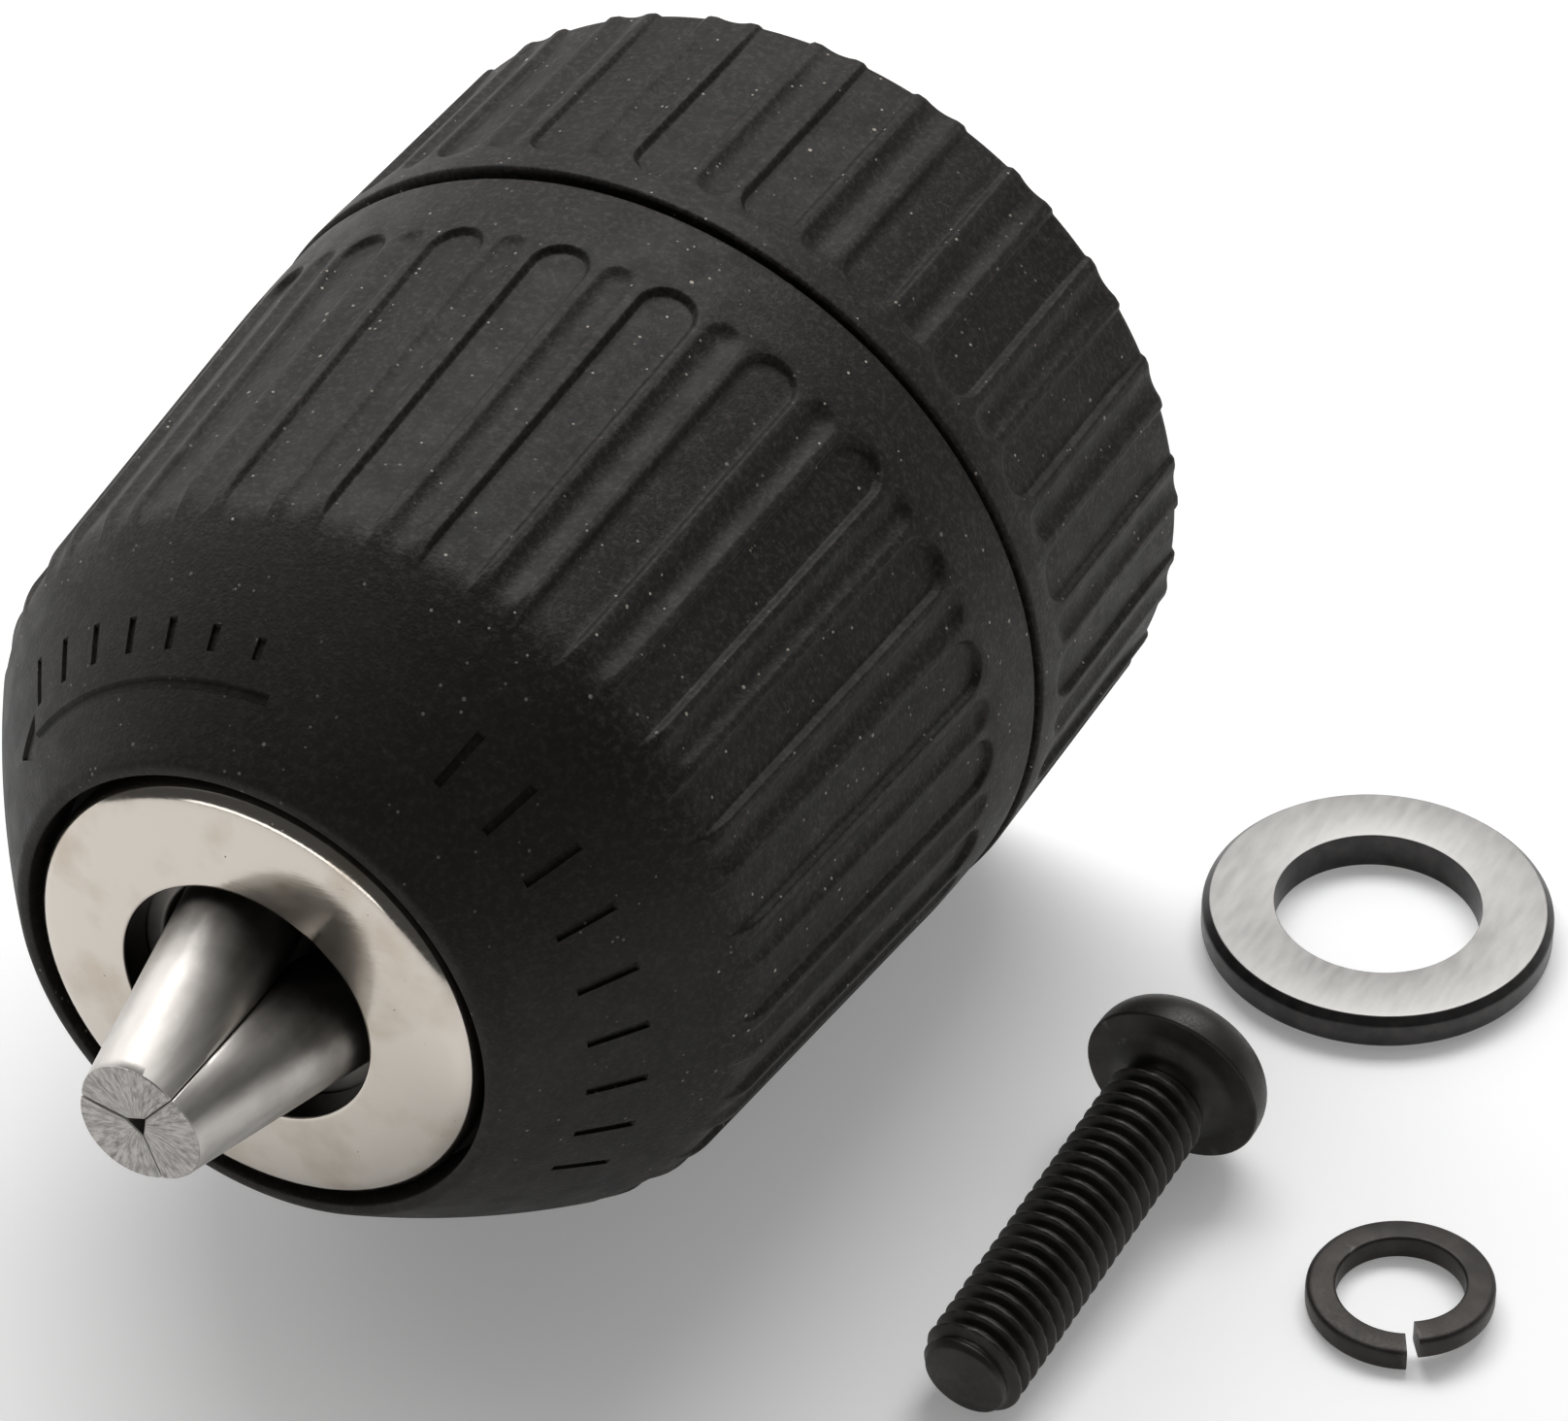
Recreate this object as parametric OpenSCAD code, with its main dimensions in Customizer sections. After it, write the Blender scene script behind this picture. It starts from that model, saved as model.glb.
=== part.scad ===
// Keyless two-sleeve drill chuck with three self-centring jaws.
// It lies on its side beside its loose retaining screw, spacer washer and lock washer.
// The chuck's axis runs along Y and the nose points to -Y. The origin is the mouth of the spindle thread.
// A "station" is a distance from the rear mounting face toward the nose, and +Z is up.

/* [Sleeves] */
// Radius of both sleeves at the seam between them
seam_r = 21; // [20.8:0.1:21.4]
// Station of the middle of the seam
seam_at = 15.65; // [15.4:0.05:15.9]
// Width of the gap at the seam
seam_gap = 0.4; // [0.3:0.1:0.5]
// Radius of the rear sleeve at its rear edge
rear_r = 20.9; // [20.6:0.1:21]
// Station of the rear sleeve's rear edge
rear_at = 0.8; // [0.6:0.1:1]
// Radius where the barrel meets the conical nose
barrel_r = 19.15; // [18.9:0.05:19.4]
// Station where the barrel meets the conical nose
barrel_at = 38.7; // [38.4:0.1:39]
// Radius half way down the conical nose
cone_r = 15.9; // [15.7:0.1:16.1]
// Station half way down the conical nose
cone_at = 43.75; // [43.5:0.25:44]
// Radius at the front of the conical nose
lip_r = 11.9; // [11.8:0.1:12.2]
// Station at the front of the conical nose
lip_at = 48.8; // [48.6:0.1:48.9]
// Radius of the opening in the nose
mouth_r = 11.3; // [11.1:0.1:11.4]

/* [Grip recesses] */
// Number of wide recesses round each sleeve, with a narrow one between each two
recess_count = 24; // [12, 24]
// Width of a wide recess
wide_w = 2.8; // [2.4:0.1:2.8]
// Width of a narrow recess
narrow_w = 1.7; // [1.4:0.1:1.7]
// Depth of the recesses
recess_depth = 0.35; // [0.25:0.05:0.5]
// Smooth band on the front sleeve between the seam and the recesses
front_band = 4.1; // [3:0.1:6]
// Smooth band on the rear sleeve between the seam and the recesses
rear_band = 1.8; // [1.5:0.1:4]
// Turn of the rear sleeve's recesses against the front sleeve's, in degrees
rear_turn = -1.6; // [-7:0.1:7]

/* [Jaws] */
// Radius of each jaw
jaw_r = 2.65; // [2.5:0.05:2.65]
// Angle between a jaw and the chuck's axis, in degrees
jaw_slope = 16; // [16]
// Distance from the chuck's axis to a jaw's centre line at its tip, when closed
jaw_offset = 0.26; // [0.2:0.01:0.26]
// Station of the jaw tips when closed
tip_at = 57.8; // [57.4:0.1:58]
// Length of each jaw along its own axis
jaw_length = 37; // [36:0.5:37]
// Direction of the first jaw seen from the nose, counter-clockwise from +X, in degrees
jaw_clock = 110; // [0:1:119]
// Half the width of the flat that grips a drill's shank
grip_flat = 0.3; // [0.2:0.05:0.4]
// Pitch of the jaw and nut threads
jaw_pitch = 1.5; // [1.5]

/* [Body] */
// Radius of the rear hub
hub_r = 10; // [9:0.5:10]
// Minor radius of the 3/8-24 UNF spindle thread
spindle_minor_r = 4.25; // [4.25]
// Depth of the spindle thread
spindle_depth = 14.5; // [14:0.5:15]
// Radius of the clearance hole for the retaining screw
screw_hole_r = 2.9; // [2.7:0.1:3]
// Radius of the central bore that takes the drill's shank
tool_bore_r = 5.2; // [5:0.1:5.2]
// Radius of the nose ring
ring_r = 10.85; // [10.6:0.05:10.9]
// Radius of the hole in the nose ring
ring_hole_r = 6.05; // [6:0.05:6.1]
// Number of balls in the thrust bearing
ball_count = 24; // [16, 20, 24]

/* [Loose hardware] */
// Head radius of the M5 left-hand retaining screw
screw_head_r = 4.35; // [4:0.05:4.4]
// Length of the retaining screw under its head
screw_length = 19.5; // [16:0.1:22]
// Outer radius of the spacer washer
spacer_r = 8.4; // [8.2:0.1:8.5]
// Hole radius of the spacer washer, which clears the spindle
spacer_hole_r = 4.95; // [4.85:0.05:5.05]
// Thickness of the spacer washer
spacer_t = 1.9; // [1.7:0.1:2.2]
// Outer radius of the split lock washer
lock_r = 4.25; // [4.2:0.05:4.4]
// Hole radius of the split lock washer
lock_hole_r = 2.9; // [2.8:0.05:2.9]
// Thickness of the split lock washer's wire
lock_t = 1.2; // [1.1:0.1:1.3]
// Rise of the split lock washer from one end to the other
lock_rise = 0.7; // [0.4:0.1:0.9]
// Width of the split lock washer's gap, in degrees
lock_gap = 7; // [4:1:10]
// Direction of the split lock washer's gap, counter-clockwise from +X, in degrees
lock_gap_turn = -59; // [-180:1:180]
// Where the screw's tip lies beside the chuck: distance to the right of its axis
screw_tip_x = 28.9; // [28.5:0.1:30]
// Where the screw's tip lies beside the chuck: distance in front of the rear face
screw_tip_in_front = 38.7; // [36:0.5:42]
// Turn of the screw from the direction of the chuck's axis, in degrees
screw_spread = 2.4; // [0:0.1:5]
// Where the spacer washer lies: distance to the right of the chuck's axis
spacer_x = 32; // [31:0.1:34]
// Where the spacer washer lies: distance in front of the rear face
spacer_in_front = 0.8; // [0:0.1:2]
// Where the lock washer lies: distance to the right of the chuck's axis
lock_x = 43.1; // [42:0.1:45]
// Where the lock washer lies: distance in front of the rear face
lock_in_front = 23.4; // [20:0.1:26]

/* [Hidden] */
$fn = 96;

// Stations of the stack inside, from the rear to the nose
flange_at = 13.6;
flange_front = 17.6;
race_t = 1;
ball_r = 0.99;
ball_at = flange_front + race_t + 1;
race_front_at = ball_at + 1;
nut_at = race_front_at + race_t + 0.2;
nut_front = nut_at + 8;
collar_at = nut_front + 0.2;
collar_front = 44.9;
floor_at = 45.1;
ring_at = 46.2;
ring_front = 49.4;
journal_front = 47.5;
bore_floor = 18;

// Radii of the stack inside
flange_r = 17.9;
race_hole_r = 15.2;
ball_circle_r = 16.55;
nut_r = 16.6;
insert_hole_r = 17.4;
insert_r = 18.2;
groove_r = 10.8;
collar_r = 13;
journal_r = 8.6;
cavity_r = 18.6;
running_gap = 0.15;
tooth_depth = 0.8;
tooth_half = jaw_pitch * 0.42;
edge = 0.4;

// The retaining screw, M5 with a 0.8 mm pitch
screw_pitch = 0.8;
screw_major_r = 2.45;
screw_minor_r = 2.02;
screw_recess_w = 1;
screw_first_crest = 0.9;
screw_rim_at = screw_length + 0.25;
screw_tilt = atan((screw_head_r - screw_major_r) / (screw_rim_at - screw_first_crest));
washer_rim = 0.4;
lock_steps = 40;
lock_lean = -asin(lock_rise / 4 / lock_r);
lock_sink = 0.17 * lock_rise;

// Longer than whatever they cut through
through = 40;
jaw_hole = 70;

// Radius that gives a narrow recess its width at its depth
narrow_r = (narrow_w * narrow_w / 4 + recess_depth * recess_depth) / (2 * recess_depth);

barrel_taper = atan((seam_r - barrel_r) / (barrel_at - seam_at));
rear_taper = atan((seam_r - rear_r) / (seam_at - rear_at));
front_edge_at = seam_at + seam_gap / 2;
rear_edge_at = seam_at - seam_gap / 2;
ground_z = -seam_r;

// Distance from the chuck's axis to a closed jaw's centre line, and to its outer side, at a station
function jaw_centre(at) = jaw_offset + tan(jaw_slope) * (tip_at - at);
function jaw_outer(at) = jaw_centre(at) + jaw_r / cos(jaw_slope);
function barrel_r_at(at) = seam_r - (at - seam_at) * tan(barrel_taper);

// Turns a shape made along +Z, with stations as heights, so that it lies along the chuck's axis
module along_axis() {
    rotate([90, 0, 0]) children();
}

module revolve(outline) {
    rotate_extrude() polygon(outline);
}

module tube(outer, inner, low, high) {
    translate([0, 0, low])
        difference() {
            cylinder(r = outer, h = high - low);
            translate([0, 0, -1]) cylinder(r = inner, h = high - low + 2);
        }
}

// Places a shape made along +Z on a jaw's own axis, with its origin at the closed jaw's tip
module jaw_frame(index) {
    rotate([0, 0, jaw_clock + 120 * index])
        translate([jaw_offset, 0, tip_at])
            rotate([0, -jaw_slope, 0]) children();
}

module wide_cutter(length) {
    translate([-wide_w / 2, -recess_depth, 0]) cube([wide_w, 4, length]);
    translate([0, -recess_depth, 0]) rotate([-90, 0, 0]) cylinder(r = wide_w / 2, h = 4);
}

module narrow_cutter(length) {
    translate([0, narrow_r - recess_depth, 0]) {
        cylinder(r = narrow_r, h = length);
        sphere(r = narrow_r);
    }
}

// Rings of recesses whose round ends lie at one station, on a barrel that narrows by taper degrees
module recesses(end_at, radius, taper, length) {
    step = 360 / recess_count;
    for (i = [0 : recess_count - 1]) {
        rotate([0, 0, i * step])
            translate([0, radius, end_at + wide_w / 2]) rotate([taper, 0, 0]) wide_cutter(length);
        rotate([0, 0, (i + 0.5) * step])
            translate([0, radius, end_at + narrow_w / 2]) rotate([taper, 0, 0]) narrow_cutter(length);
    }
}

module front_sleeve_shell() {
    revolve([
        [insert_r, front_edge_at],
        [seam_r - edge, front_edge_at],
        [seam_r, front_edge_at + edge],
        [barrel_r, barrel_at],
        [cone_r, cone_at],
        [lip_r, lip_at],
        [mouth_r + 0.2, lip_at + 0.1],
        [mouth_r, lip_at - 0.3],
        [mouth_r, floor_at + 0.9],
        [journal_r + 0.2, floor_at + 0.9],
        [journal_r + 0.2, floor_at],
        [collar_r + 0.2, floor_at],
        [collar_r + 0.2, 43],
        [insert_r - 1, 38],
        [insert_r, 37.2]
    ]);
}

module front_sleeve() {
    end_at = front_edge_at + front_band;
    color("#26272a")
        along_axis()
            difference() {
                front_sleeve_shell();
                recesses(end_at, barrel_r_at(end_at), barrel_taper, through);
            }
}

module rear_sleeve() {
    end_at = rear_edge_at - rear_band;
    color("#26272a")
        along_axis()
            difference() {
                revolve([
                    [hub_r, rear_at],
                    [rear_r - edge, rear_at],
                    [rear_r, rear_at + edge],
                    [seam_r, rear_edge_at - edge],
                    [seam_r - edge, rear_edge_at],
                    [flange_r, rear_edge_at],
                    [flange_r, flange_at],
                    [cavity_r, flange_at - 0.7],
                    [cavity_r, rear_at + 1],
                    [hub_r, rear_at + 1]
                ]);
                rotate([0, 0, rear_turn])
                    mirror([0, 0, 1])
                        recesses(-end_at, seam_r - 0.02, rear_taper, through);
            }
}

module body_blank() {
    revolve([
        [0, 0],
        [hub_r - 0.5, 0],
        [hub_r, 0.5],
        [hub_r, flange_at],
        [flange_r, flange_at],
        [flange_r, flange_front],
        [race_hole_r, flange_front],
        [race_hole_r, flange_front + race_t],
        [groove_r, flange_front + race_t + 0.6],
        [groove_r, collar_at],
        [collar_r, collar_at],
        [collar_r, collar_front],
        [journal_r, collar_front],
        [journal_r, journal_front],
        [0, journal_front]
    ]);
}

module chuck_body() {
    color("#8d9196")
        along_axis()
            difference() {
                body_blank();
                translate([0, 0, -1]) cylinder(r = spindle_minor_r, h = spindle_depth + 1);
                cylinder(r = screw_hole_r, h = bore_floor + 1);
                translate([0, 0, bore_floor]) cylinder(r = tool_bore_r, h = through);
                for (i = [0 : 2])
                    jaw_frame(i)
                        translate([0, 0, 8 - jaw_hole]) cylinder(r = jaw_r + 0.1, h = jaw_hole);
            }
}

module nose_ring() {
    color("#cfd0d0")
        along_axis()
            revolve([
                [journal_r, ring_at],
                [ring_r, ring_at],
                [ring_r, ring_front - 1.3],
                [ring_r - 0.3, ring_front - 0.75],
                [ring_r - 1, ring_front - 0.4],
                [ring_hole_r + 0.3, ring_front],
                [ring_hole_r, ring_front - 0.2],
                [ring_hole_r, journal_front + 0.2],
                [journal_r, journal_front + 0.2]
            ]);
}

module race(low) {
    color("#b9bcc0")
        along_axis()
            tube(flange_r, race_hole_r, low, low + race_t);
}

module thrust_race_rear() {
    race(flange_front);
}

module thrust_race_front() {
    race(race_front_at);
}

// Places a shape at each ball of the thrust bearing
module ball_ring() {
    for (i = [0 : ball_count - 1])
        rotate([0, 0, i * 360 / ball_count])
            translate([ball_circle_r, 0, ball_at]) children();
}

module bearing_balls() {
    color("#dfe1e4")
        along_axis()
            ball_ring() sphere(r = ball_r, $fn = 48);
}

module bearing_cage() {
    color("#b08d48")
        along_axis()
            difference() {
                tube(flange_r - 0.1, race_hole_r + 0.1, ball_at - 0.45, ball_at + 0.45);
                ball_ring() translate([0, 0, -2]) cylinder(r = ball_r + 0.05, h = 4, $fn = 48);
            }
}

// A V-shaped ring that runs round the chuck's axis, between two distances outside the jaws' outer sides
module tooth(at, from, to) {
    revolve([
        [jaw_outer(at - tooth_half) + from, at - tooth_half],
        [jaw_outer(at) + to, at],
        [jaw_outer(at + tooth_half) + from, at + tooth_half]
    ]);
}

// The threaded ring that drives the jaws: a cone inside, cut by tooth grooves, and split across into halves
module nut_ring() {
    difference() {
        revolve([
            [jaw_outer(nut_at) + running_gap, nut_at],
            [nut_r, nut_at],
            [nut_r, nut_front],
            [jaw_outer(nut_front) + running_gap, nut_front]
        ]);
        for (i = [0 : 4])
            tooth(nut_at + 1 + i * jaw_pitch, running_gap - 0.05, tooth_depth);
    }
}

module nut_half(side) {
    color("#a7a9ac")
        along_axis()
            intersection() {
                nut_ring();
                translate([side > 0 ? 0.05 : -30.05, -30, 0]) cube([30, 60, 60]);
            }
}

module nut_half_a() {
    nut_half(1);
}

module nut_half_b() {
    nut_half(-1);
}

module nut_band() {
    color("#9a9da1")
        along_axis()
            tube(insert_hole_r, nut_r, nut_at + 0.2, nut_front);
}

module sleeve_insert() {
    color("#9a9da1")
        along_axis()
            revolve([
                [insert_hole_r, nut_at + 0.1],
                [insert_r, nut_at + 0.1],
                [insert_r, 37.2],
                [insert_hole_r, 37.2],
                [insert_hole_r, nut_front + 1.6],
                [collar_r + 0.1, nut_front + 1.6],
                [collar_r + 0.1, nut_front + 0.6],
                [insert_hole_r, nut_front + 0.6]
            ]);
}

module jaw_rod() {
    translate([0, 0, -jaw_length]) cylinder(r = jaw_r, h = jaw_length + 3);
}

// The 120 degree slice of space that belongs to one jaw, with a flat at its apex that grips the shank
module jaw_sector() {
    reach = 60;
    apex = 0.03 / sin(60);
    linear_extrude(height = tip_at)
        polygon([
            [grip_flat, -(grip_flat - apex) * tan(60)],
            [reach, -(reach - apex) * tan(60)],
            [reach, (reach - apex) * tan(60)],
            [grip_flat, (grip_flat - apex) * tan(60)]
        ]);
}

module jaw(index) {
    first_tooth = tip_at - jaw_length * cos(jaw_slope) + 1.2;
    color("#b4b2ae")
        along_axis()
            difference() {
                intersection() {
                    jaw_frame(index) jaw_rod();
                    rotate([0, 0, jaw_clock + 120 * index]) jaw_sector();
                }
                for (at = [first_tooth : jaw_pitch : 46.5])
                    tooth(at, 0.6, -tooth_depth);
            }
}

module jaw_1() {
    jaw(0);
}

module jaw_2() {
    jaw(1);
}

module jaw_3() {
    jaw(2);
}

// Outline of the screw from its tip (height 0) to the top of its domed head, with the thread as ring grooves
module screw_outline() {
    turns = floor((screw_length - 1.6) / screw_pitch);
    polygon(concat(
        [[0, 0], [screw_minor_r - 0.1, 0], [screw_minor_r, 0.2]],
        [
            for (i = [0 : turns - 1], crest = [false, true])
                let (turn = crest ? i : i - 0.5)
                    [crest ? screw_major_r : screw_minor_r, screw_first_crest + turn * screw_pitch]
        ],
        [
            [screw_minor_r, screw_first_crest + (turns - 0.5) * screw_pitch],
            [screw_minor_r, screw_length - 0.9],
            [2.5, screw_length - 0.6],
            [3, screw_length],
            [screw_head_r - 0.15, screw_length],
            [screw_head_r, screw_rim_at],
            [screw_head_r, screw_length + 0.9],
            [screw_head_r - 0.35, screw_length + 1.8],
            [screw_head_r - 1.2, screw_length + 2.55],
            [screw_head_r - 2.4, screw_length + 2.9],
            [0, screw_length + 3]
        ]
    ));
}

module cross_recess() {
    arm = screw_head_r / 2;
    for (turn = [0, 90])
        rotate([0, 0, turn])
            translate([-arm, -screw_recess_w / 2, screw_length + 1.4])
                cube([2 * arm, screw_recess_w, through]);
}

// Lies on its head's rim and on its thread, and points the way the nose points
module retaining_screw() {
    lift = screw_major_r * cos(screw_tilt) - screw_first_crest * sin(screw_tilt);
    color("#1f2022")
        translate([screw_tip_x, -screw_tip_in_front, ground_z + lift])
            rotate([0, 0, -screw_spread])
                rotate([-90 + screw_tilt, 0, 0])
                    difference() {
                        rotate_extrude() screw_outline();
                        cross_recess();
                    }
}

module spacer_washer() {
    color("#b5b6b7")
        translate([spacer_x, -spacer_in_front, ground_z])
            revolve([
                [spacer_hole_r, 0],
                [spacer_r - washer_rim, 0],
                [spacer_r, washer_rim],
                [spacer_r, spacer_t - washer_rim],
                [spacer_r - washer_rim, spacer_t],
                [spacer_hole_r, spacer_t]
            ]);
}

// One turn of square wire that comes down by lock_rise from one end to the other.
// It rests on its low end and on the side across from its gap.
module lock_washer() {
    span = 360 - lock_gap;
    section = [[lock_hole_r, 0], [lock_r, 0], [lock_r, lock_t], [lock_hole_r, lock_t]];
    points = [
        for (i = [0 : lock_steps], corner = section)
            let (turn = lock_gap_turn + lock_gap / 2 + span * i / lock_steps)
                [
                    corner[0] * cos(turn),
                    corner[0] * sin(turn),
                    corner[1] + lock_rise * (1 - i / lock_steps)
                ]
    ];
    sides = [
        for (i = [0 : lock_steps - 1], j = [0 : 3])
            [4 * i + j, 4 * i + (j + 1) % 4, 4 * (i + 1) + (j + 1) % 4, 4 * (i + 1) + j]
    ];
    color("#34353a")
        translate([lock_x, -lock_in_front, ground_z - lock_sink])
            rotate(a = lock_lean, v = [-sin(lock_gap_turn), cos(lock_gap_turn), 0])
                polyhedron(points, concat([[3, 2, 1, 0]], sides, [[for (j = [0 : 3]) 4 * lock_steps + j]]));
}

chuck_body();
rear_sleeve();
nose_ring();
thrust_race_rear();
bearing_balls();
bearing_cage();
thrust_race_front();
nut_half_a();
nut_half_b();
nut_band();
sleeve_insert();
front_sleeve();
jaw_1();
jaw_2();
jaw_3();
retaining_screw();
spacer_washer();
lock_washer();
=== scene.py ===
import math

import bmesh
import bpy
import numpy as np
from mathutils import Matrix, Vector

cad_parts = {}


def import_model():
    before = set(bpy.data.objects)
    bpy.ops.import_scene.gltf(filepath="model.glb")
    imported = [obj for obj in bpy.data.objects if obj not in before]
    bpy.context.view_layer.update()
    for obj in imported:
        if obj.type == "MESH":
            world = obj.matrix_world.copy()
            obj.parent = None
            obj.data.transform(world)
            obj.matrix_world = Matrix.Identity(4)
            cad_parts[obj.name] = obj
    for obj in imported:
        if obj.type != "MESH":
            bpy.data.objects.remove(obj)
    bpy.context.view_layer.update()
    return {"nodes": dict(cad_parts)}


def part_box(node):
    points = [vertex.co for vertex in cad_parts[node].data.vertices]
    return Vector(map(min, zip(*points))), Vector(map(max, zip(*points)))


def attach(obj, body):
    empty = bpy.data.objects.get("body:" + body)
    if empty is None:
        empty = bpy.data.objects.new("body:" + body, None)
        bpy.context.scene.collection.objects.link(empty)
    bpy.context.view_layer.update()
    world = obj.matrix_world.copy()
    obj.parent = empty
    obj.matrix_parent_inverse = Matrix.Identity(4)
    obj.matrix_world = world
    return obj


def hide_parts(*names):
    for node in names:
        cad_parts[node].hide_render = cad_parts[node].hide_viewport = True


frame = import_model()

# Lengths are in millimetres and angles in degrees unless a comment says otherwise, and meshes are
# in metres. A station is a distance from the chuck's rear face toward its nose, along -Y.
MM = 0.001
WELD = 0.0002 * MM


# -------------------------------- sizes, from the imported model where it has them

def stations_of(node):
    """The stations of a CAD node's rear and front ends."""
    low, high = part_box(node)
    return -high.y / MM, -low.y / MM


def centre_of(node):
    """The middle of a CAD node's box in plan, and its lowest height."""
    low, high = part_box(node)
    return (low.x + high.x) / 2 / MM, (low.y + high.y) / 2 / MM, low.z / MM


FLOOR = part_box("spacer_washer")[0].z / MM
# Radius at the seam, a hair inside the CAD's, which rests on the floor
SEAM_R = -FLOOR - 0.03
FRONT_SEAM, LIP = stations_of("front_sleeve")
REAR_EDGE, REAR_SEAM = stations_of("rear_sleeve")
RING_REAR, RING_FRONT = stations_of("nose_ring")
JAW_TIP = stations_of("jaw_1")[1]

# Outer shape of the front sleeve: a tapering barrel, and a convex cone from BARREL_END to the lip
BARREL_R, BARREL_END, BARREL_SLOPE = 19.16, 38.7, 0.081
LIP_R, MOUTH_R, CONE_BULGE = 11.8, 11.3, 0.38
EDGE_BLEND = 0.4
SEAM_DROP, SEAM_DROP_LENGTH = 0.22, 6

# Outer shape of the rear sleeve. Its front edge moves forward by REAR_LEAN times a cosine less
# REAR_LEVEL, most at the angle REAR_LEAN_TOWARD, in radians, and back by REAR_LEAN_FLOOR at most.
REAR_R, REAR_EDGE_ROUND = 20.87, 0.45
REAR_LEAN, REAR_LEAN_TOWARD, REAR_LEVEL, REAR_LEAN_FLOOR = 0.65, math.radians(35), 0.72, -0.4
REAR_TURN = -1.1

# Grip recesses, wide and narrow by turns. Widths are half-widths along the arc at the seam: HALF is
# the recess's, EDGE is where its depth runs out and CELL is where the next one's cell starts.
RECESSES = 24
HALF_PERIOD = math.pi * SEAM_R / RECESSES
WIDE_HALF, WIDE_WALL, WIDE_CELL = 1.42, 0.32, 1.62
WIDE_EDGE = WIDE_HALF + 0.08
NARROW_HALF, NARROW_CELL = 0.86, HALF_PERIOD - WIDE_CELL
NARROW_EDGE, NARROW_FLOOR = NARROW_HALF + 0.1, 0.45
WIDE_DEPTH, NARROW_DEPTH, RIDGE_ROUND = 0.34, 0.31, 0.07

# Smooth bands between the seam and the recesses. The cells start BAND_OVERLAP inside the band,
# and the narrow recesses NARROW_START after it.
FRONT_BAND, REAR_BAND, BAND_OVERLAP, NARROW_START = 4.05, 1.6, 0.45, 0.15

RING_HOLE_R = 6.05

# Jaws: round rods whose own axes slope toward the nose. JAW_OFFSET is how far a rod's axis lies
# from the chuck's at its tip, and JAW_CLOCK the first jaw's place round the chuck.
JAW_R, JAW_SLOPE, JAW_OFFSET, JAW_CLOCK = 2.65, math.radians(16), 0.26, 110
JAW_CLEARANCE = 0.1
GRIP_FLAT, SECTOR_APEX = 0.3, 0.035
TOOTH_PITCH, TOOTH_DEPTH, TOOTH_FLANK = 1.5, 0.8, 0.36


# -------------------------------- mesh helpers

def grid_faces(rows, columns, wrap_rows=False, wrap_columns=False):
    """Faces of a grid of points that is stored row by row."""
    index = np.arange(rows * columns).reshape(rows, columns)
    if wrap_rows:
        index = np.vstack([index, index[:1]])
    if wrap_columns:
        index = np.hstack([index, index[:, :1]])
    corners = [index[:-1, :-1], index[:-1, 1:], index[1:, 1:], index[1:, :-1]]
    return np.stack([c.ravel() for c in corners], -1)


class Mesh:
    """Points in metres and faces, gathered from several grids and welded into one mesh."""

    def __init__(self):
        self.points = []
        self.faces = []
        self.count = 0

    def add(self, points, faces):
        points = np.asarray(points, float).reshape(-1, 3)
        self.points.append(points)
        self.faces.extend((faces + self.count).tolist())
        self.count += len(points)

    def add_grid(self, points, **wraps):
        self.add(points, grid_faces(*points.shape[:2], **wraps))

    def build(self, name, sharp=40):
        """A new object, smooth up to the sharp angle."""
        mesh = bpy.data.meshes.new(name)
        mesh.from_pydata(np.concatenate(self.points).tolist(), [], self.faces)
        work = bmesh.new()
        work.from_mesh(mesh)
        bmesh.ops.remove_doubles(work, verts=work.verts, dist=WELD)
        bmesh.ops.recalc_face_normals(work, faces=work.faces)
        work.to_mesh(mesh)
        work.free()
        piece = bpy.data.objects.new(name, mesh)
        bpy.context.scene.collection.objects.link(piece)
        smooth(piece, sharp)
        return piece


def capped(points):
    """A Mesh of rings of points, closed by a flat face at the first ring and at the last."""
    made = Mesh()
    made.add_grid(points, wrap_columns=True)
    for ring in (points[0], points[-1]):
        made.add(ring, np.arange(len(ring))[None, :])
    return made


def smooth(piece, sharp=40):
    """Shades the piece smooth except along edges sharper than that angle."""
    piece.data.shade_smooth()
    piece.data.set_sharp_from_angle(angle=math.radians(sharp))


def about_axis(radius, angle, station):
    """Points about the chuck's axis, in metres.

    Angles are in radians, counter-clockwise from +X seen from the nose.
    """
    x, z = radius * np.cos(angle), radius * np.sin(angle)
    return MM * np.stack(np.broadcast_arrays(x, -station, z), -1)


def rounded(corners, steps=5):
    """An outline of (radius, height) points from (radius, height, rounding) corners."""
    points = []
    for i, (radius, height, rounding) in enumerate(corners):
        here = np.array([radius, height], float)
        before = np.array(corners[i - 1][:2], float) - here
        after = np.array(corners[(i + 1) % len(corners)][:2], float) - here
        if rounding <= 0:
            points.append(here)
            continue
        start = here + before / np.linalg.norm(before) * rounding
        end = here + after / np.linalg.norm(after) * rounding
        for t in np.linspace(0, 1, steps + 1):
            points.append(start * (1 - t) ** 2 + here * 2 * t * (1 - t) + end * t ** 2)
    return np.array(points)


def lathe(outline, columns=128, closed=True, ripple=None):
    """A Mesh of (radius, height) points turned about +Z. ripple(angle, height) widens it."""
    angles = np.arange(columns) * 2 * math.pi / columns
    radius, height = outline[:, :1], outline[:, 1:]
    if ripple is not None:
        radius = radius + ripple(angles[None, :], height)
    x, y, z = np.broadcast_arrays(radius * np.cos(angles), radius * np.sin(angles), height)
    made = Mesh()
    made.add_grid(MM * np.stack([x, y, z], -1), wrap_columns=True, wrap_rows=closed)
    return made


def place(piece, matrix):
    """Moves the piece's mesh, so that its object stays at the origin."""
    piece.data.transform(matrix)
    return piece


ALONG_AXIS = Matrix.Rotation(math.radians(90), 4, "X")


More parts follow.
